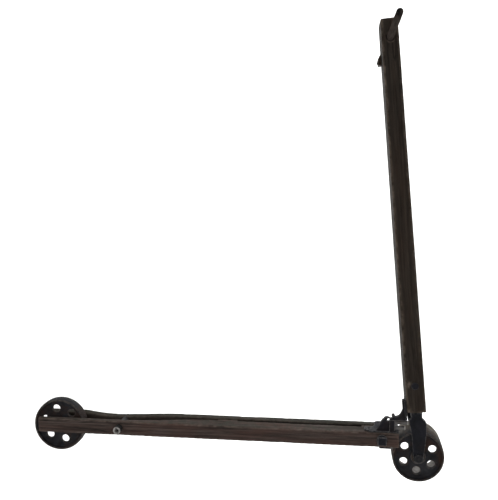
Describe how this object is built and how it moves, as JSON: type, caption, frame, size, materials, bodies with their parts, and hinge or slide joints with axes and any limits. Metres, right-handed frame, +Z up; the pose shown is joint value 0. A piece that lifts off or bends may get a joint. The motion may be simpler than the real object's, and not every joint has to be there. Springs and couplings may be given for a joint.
{
  "type": "ceiling mounted pulley rack",
  "caption": "Timber hanger with a twin-rail boom, an iron yoke and knee at the elbow, and a free-running flat-belt pulley at each end of the boom.",
  "frame": {"origin": "middle of the hanger's top end, the face that goes against the ceiling", "axes": "+Z up along the hanger, +Y from the viewer's side to the back along both pulley axles, the boom runs out towards -X"},
  "size_m": [1.6054, 0.4707, 1.7195],
  "materials": {
    "hanger_wood": "old dark oiled hardwood, dry and worn at the corners",
    "rail_wood": "old reddish-brown hardwood, oil-stained",
    "peg_wood": "grey-brown turned wood, handled and dusty",
    "black_iron": "black forged iron, oily, scuffed",
    "pulley_iron": "black cast iron, belt face polished and dusty",
    "worn_steel": "bare steel, dulled, worn bright on its ends",
    "bronze": "oiled bearing bronze"
  },
  "bodies": {
    "frame": {"clamp_bolt": "black_iron", "clamp_nut": "black_iron", "clamp_plate": "black_iron", "cleat_screw_1": "black_iron", "cleat_screw_2": "black_iron", "cross_pipe": "worn_steel", "elbow_axle": "worn_steel", "elbow_axle_nut": "black_iron", "elbow_axle_washer": "black_iron", "elbow_thrust_washer_front": "bronze", "elbow_thrust_washer_rear": "bronze", "end_axle": "worn_steel", "end_axle_nut": "black_iron", "end_axle_washer": "black_iron", "end_filler": "rail_wood", "end_thrust_washer_front": "bronze", "end_thrust_washer_rear": "bronze", "foot_screw_1": "black_iron", "foot_screw_2": "black_iron", "front_rail": "rail_wood", "hanger_beam": "hanger_wood", "knee_bracket": "black_iron", "knee_set_screw": "black_iron", "leg_screw_1": "black_iron", "leg_screw_2": "black_iron", "mid_filler": "rail_wood", "mid_filler_screw_1": "black_iron", "mid_filler_screw_2": "black_iron", "peg": "peg_wood", "peg_wedge": "rail_wood", "rail_bolt": "black_iron", "rail_bolt_front_washer": "black_iron", "rail_bolt_nut": "black_iron", "rail_bolt_rear_washer": "black_iron", "rear_rail": "rail_wood", "side_cleat": "hanger_wood", "stay_bolt_lower": "worn_steel", "stay_bolt_upper": "worn_steel", "yoke": "black_iron", "yoke_bolt": "black_iron", "yoke_bolt_nut": "black_iron", "yoke_bolt_washer": "black_iron"},
    "elbow_wheel": {"elbow_pulley": "pulley_iron", "elbow_bush": "bronze"},
    "end_wheel": {"end_pulley": "pulley_iron", "end_bush": "bronze"}
  },
  "joints": [
    {"name": "elbow_pulley_spin", "type": "hinge", "parent": "frame", "child": "elbow_wheel", "pos_m": [-0.0057, 0, -1.621], "axis": [0, 1, 0], "continuous": true},
    {"name": "end_pulley_spin", "type": "hinge", "parent": "frame", "child": "end_wheel", "pos_m": [-1.40881, 0, -1.44277], "axis": [0, 1, 0], "continuous": true}
  ]
}
